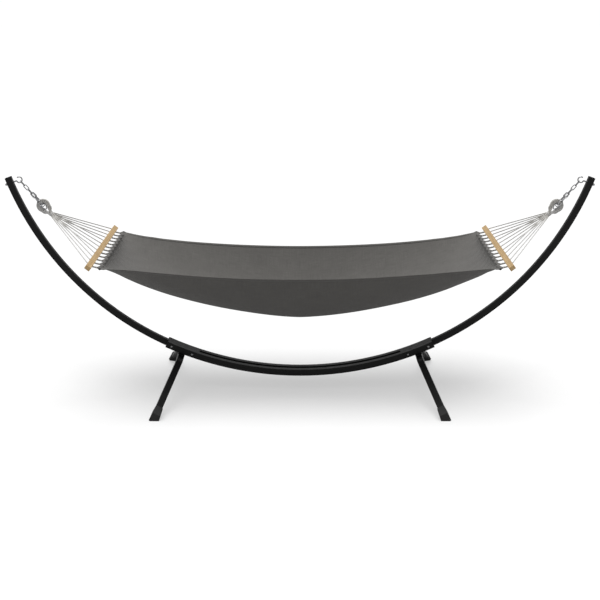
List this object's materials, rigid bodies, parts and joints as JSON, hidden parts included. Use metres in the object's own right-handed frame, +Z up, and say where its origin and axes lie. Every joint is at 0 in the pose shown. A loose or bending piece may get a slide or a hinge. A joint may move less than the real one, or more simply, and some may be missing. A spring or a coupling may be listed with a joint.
{
  "type": "hammock on stand",
  "caption": "Cloth hammock with rope fans and wooden spreader bars, hung by chains from the hooks of a free-standing arc stand of black steel tube.",
  "frame": {"origin": "on the ground, under the middle of the stand", "axes": "+X along the stand, +Y to the rear, +Z up"},
  "size_m": [3.2058, 1.0854, 1.2116],
  "materials": {
    "black_powder_coat": "satin powder coat",
    "black_rubber": "matt moulded",
    "black_plastic": "matt moulded",
    "zinc_steel": "bright zinc plate",
    "rope": "twisted cotton cord",
    "wood": "clear oiled hardwood",
    "grey_fabric": "plain canvas weave",
    "hem_fabric": "rolled hem"
  },
  "bodies": {
    "stand": {"left_arm": "black_powder_coat", "right_arm": "black_powder_coat", "front_rail": "black_powder_coat", "rear_rail": "black_powder_coat", "left_leg": "black_powder_coat", "right_leg": "black_powder_coat", "left_leg_saddle": "black_powder_coat", "right_leg_saddle": "black_powder_coat", "front_left_foot": "black_rubber", "front_right_foot": "black_rubber", "rear_left_foot": "black_rubber", "rear_right_foot": "black_rubber", "arm_tip_plugs": "black_plastic", "arm_inner_plugs": "black_plastic", "rail_end_plugs": "black_plastic", "frame_bolts": "zinc_steel", "frame_washers": "zinc_steel", "frame_nuts": "zinc_steel", "leg_bolts": "zinc_steel", "leg_rivet_nuts": "zinc_steel", "left_hook": "zinc_steel", "right_hook": "zinc_steel", "hook_washers": "zinc_steel", "hook_nuts": "zinc_steel"},
    "chain_tops": {"left_chain_top": "zinc_steel", "right_chain_top": "zinc_steel"},
    "hammock": {"left_chain_loop": "zinc_steel", "right_chain_loop": "zinc_steel", "left_thimble": "zinc_steel", "right_thimble": "zinc_steel", "left_rope_eye": "rope", "right_rope_eye": "rope", "left_neck_binding": "rope", "right_neck_binding": "rope", "left_ropes": "rope", "right_ropes": "rope", "left_spreader_bar": "wood", "right_spreader_bar": "wood", "left_lacing": "rope", "right_lacing": "rope", "left_hem_cord": "hem_fabric", "right_hem_cord": "hem_fabric", "hammock_cloth": "grey_fabric"}
  },
  "joints": [
    {"name": "hammock_swing", "type": "hinge", "parent": "stand", "child": "chain_tops", "pos_m": [0, 0, 1.1806], "axis": [1, 0, 0], "range_deg": [-25, 25]},
    {"name": "bed_roll", "type": "hinge", "parent": "chain_tops", "child": "hammock", "pos_m": [0, 0, 1.1395], "axis": [1, 0, 0], "range_deg": [-20, 20]}
  ]
}
